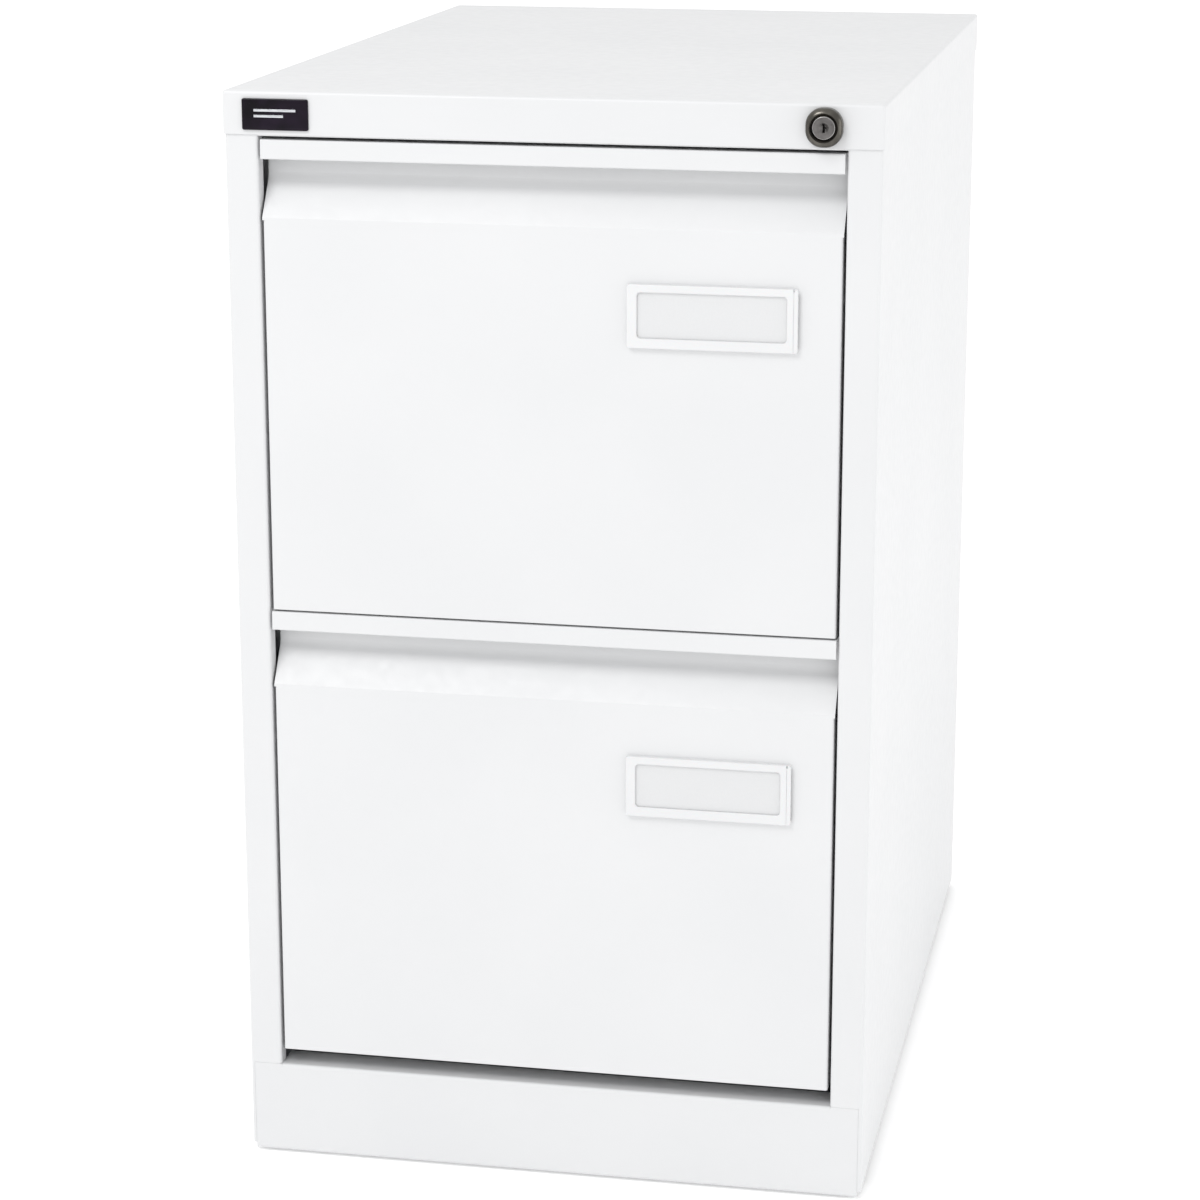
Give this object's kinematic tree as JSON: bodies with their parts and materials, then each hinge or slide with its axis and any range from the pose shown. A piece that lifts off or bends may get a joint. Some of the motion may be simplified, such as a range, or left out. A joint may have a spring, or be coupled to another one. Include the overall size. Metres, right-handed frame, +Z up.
{
  "type": "filing cabinet",
  "caption": "Steel pedestal filing cabinet with hooked-lip drawers on telescopic runners, a central lock and levelling feet.",
  "frame": {"origin": "on the floor under the middle of the cabinet, front lock included", "axes": "+X to the cabinet's right seen from the front, +Y towards its back, +Z up"},
  "size_m": [0.413, 0.63, 0.711],
  "materials": {
    "white_enamel": "fine satin powder coat on folded steel sheet",
    "drawer_enamel": "fine satin powder coat on folded steel sheet",
    "zinc_steel": "bright zinc plate",
    "runner_steel": "zinc plate with a thin film of grease",
    "ball_steel": "polished balls in drilled strips",
    "lock_nickel": "dark nickel plate, polished",
    "lock_plug_metal": "dark nickel plate, fine turned face",
    "badge_enamel": "clear dome over a dark plum face",
    "card_stock": "uncoated white card",
    "foot_plastic": "moulded black pad on a zinc stud"
  },
  "bodies": {
    "carcass": {"top_cap": "white_enamel", "side_panel_left": "white_enamel", "side_panel_right": "white_enamel", "back_panel": "white_enamel", "base_pan": "zinc_steel", "base_rail_left": "zinc_steel", "base_rail_right": "zinc_steel", "plinth": "white_enamel", "top_rail": "white_enamel", "front_upright_left": "zinc_steel", "front_upright_right": "zinc_steel", "rear_upright_left": "zinc_steel", "rear_upright_right": "zinc_steel", "foot_nuts": "zinc_steel", "badge": "badge_enamel", "lock_housing": "lock_nickel", "lock_nut": "zinc_steel", "lock_bar_guides": "zinc_steel", "runner_screws": "zinc_steel", "lower_runner_outer": "runner_steel", "upper_runner_outer": "runner_steel"},
    "lock_plug": {"lock_plug": "lock_plug_metal", "lock_cam": "zinc_steel"},
    "lock_bar": {"lock_bar": "zinc_steel"},
    "lower_drawer": {"lower_front_skin": "drawer_enamel", "lower_front_liner": "drawer_enamel", "lower_drawer_side_left": "drawer_enamel", "lower_drawer_side_right": "drawer_enamel", "lower_drawer_floor": "drawer_enamel", "lower_drawer_back": "drawer_enamel", "lower_file_rails": "drawer_enamel", "lower_label_holder": "drawer_enamel", "lower_lock_catch": "zinc_steel", "lower_drawer_screws": "zinc_steel", "lower_runner_inner": "runner_steel"},
    "lower_runner_middle": {"lower_runner_middle": "runner_steel"},
    "lower_outer_balls": {"lower_outer_balls": "ball_steel"},
    "lower_inner_balls": {"lower_inner_balls": "ball_steel"},
    "lower_label_card": {"lower_label_card": "card_stock"},
    "upper_drawer": {"upper_front_skin": "drawer_enamel", "upper_front_liner": "drawer_enamel", "upper_drawer_side_left": "drawer_enamel", "upper_drawer_side_right": "drawer_enamel", "upper_drawer_floor": "drawer_enamel", "upper_drawer_back": "drawer_enamel", "upper_file_rails": "drawer_enamel", "upper_label_holder": "drawer_enamel", "upper_lock_catch": "zinc_steel", "upper_drawer_screws": "zinc_steel", "upper_runner_inner": "runner_steel"},
    "upper_runner_middle": {"upper_runner_middle": "runner_steel"},
    "upper_outer_balls": {"upper_outer_balls": "ball_steel"},
    "upper_inner_balls": {"upper_inner_balls": "ball_steel"},
    "upper_label_card": {"upper_label_card": "card_stock"},
    "foot_front_left": {"foot_front_left": "foot_plastic"},
    "foot_front_right": {"foot_front_right": "foot_plastic"},
    "foot_rear_left": {"foot_rear_left": "foot_plastic"},
    "foot_rear_right": {"foot_rear_right": "foot_plastic"}
  },
  "joints": [
    {"name": "lower_drawer_slide", "type": "slide", "parent": "carcass", "child": "lower_drawer", "axis": [0, -1, 0], "range_m": [0, 0.5]},
    {"name": "lower_runner_middle_slide", "type": "slide", "parent": "carcass", "child": "lower_runner_middle", "axis": [0, -1, 0], "range_m": [0, 0.25]},
    {"name": "lower_outer_balls_roll", "type": "slide", "parent": "carcass", "child": "lower_outer_balls", "axis": [0, -1, 0], "range_m": [0, 0.125]},
    {"name": "lower_inner_balls_roll", "type": "slide", "parent": "carcass", "child": "lower_inner_balls", "axis": [0, -1, 0], "range_m": [0, 0.375]},
    {"name": "lower_label_card_slide", "type": "slide", "parent": "lower_drawer", "child": "lower_label_card", "axis": [1, 0, 0], "range_m": [0, 0.09]},
    {"name": "upper_drawer_slide", "type": "slide", "parent": "carcass", "child": "upper_drawer", "axis": [0, -1, 0], "range_m": [0, 0.5]},
    {"name": "upper_runner_middle_slide", "type": "slide", "parent": "carcass", "child": "upper_runner_middle", "axis": [0, -1, 0], "range_m": [0, 0.25]},
    {"name": "upper_outer_balls_roll", "type": "slide", "parent": "carcass", "child": "upper_outer_balls", "axis": [0, -1, 0], "range_m": [0, 0.125]},
    {"name": "upper_inner_balls_roll", "type": "slide", "parent": "carcass", "child": "upper_inner_balls", "axis": [0, -1, 0], "range_m": [0, 0.375]},
    {"name": "upper_label_card_slide", "type": "slide", "parent": "upper_drawer", "child": "upper_label_card", "axis": [1, 0, 0], "range_m": [0, 0.09]},
    {"name": "lock_bar_lift", "type": "slide", "parent": "carcass", "child": "lock_bar", "axis": [0, 0, 1], "range_m": [0, 0.01273]},
    {"name": "lock_turn", "type": "hinge", "parent": "carcass", "child": "lock_plug", "pos_m": [0.1703, -0.307, 0.697], "axis": [0, -1, 0], "range_deg": [0, 90]},
    {"name": "foot_front_left_screw", "type": "slide", "parent": "carcass", "child": "foot_front_left", "axis": [0, 0, -1], "range_m": [0, 0.01]},
    {"name": "foot_front_right_screw", "type": "slide", "parent": "carcass", "child": "foot_front_right", "axis": [0, 0, -1], "range_m": [0, 0.01]},
    {"name": "foot_rear_left_screw", "type": "slide", "parent": "carcass", "child": "foot_rear_left", "axis": [0, 0, -1], "range_m": [0, 0.01]},
    {"name": "foot_rear_right_screw", "type": "slide", "parent": "carcass", "child": "foot_rear_right", "axis": [0, 0, -1], "range_m": [0, 0.01]}
  ],
  "couplings": [
    {"joint": "lower_runner_middle_slide", "follows": "lower_drawer_slide", "ratio": 0.5},
    {"joint": "lower_outer_balls_roll", "follows": "lower_drawer_slide", "ratio": 0.25},
    {"joint": "lower_inner_balls_roll", "follows": "lower_drawer_slide", "ratio": 0.75},
    {"joint": "upper_runner_middle_slide", "follows": "upper_drawer_slide", "ratio": 0.5},
    {"joint": "upper_outer_balls_roll", "follows": "upper_drawer_slide", "ratio": 0.25},
    {"joint": "upper_inner_balls_roll", "follows": "upper_drawer_slide", "ratio": 0.75},
    {"joint": "lock_turn", "follows": "lock_bar_lift", "rad_per_m": 123.42}
  ]
}
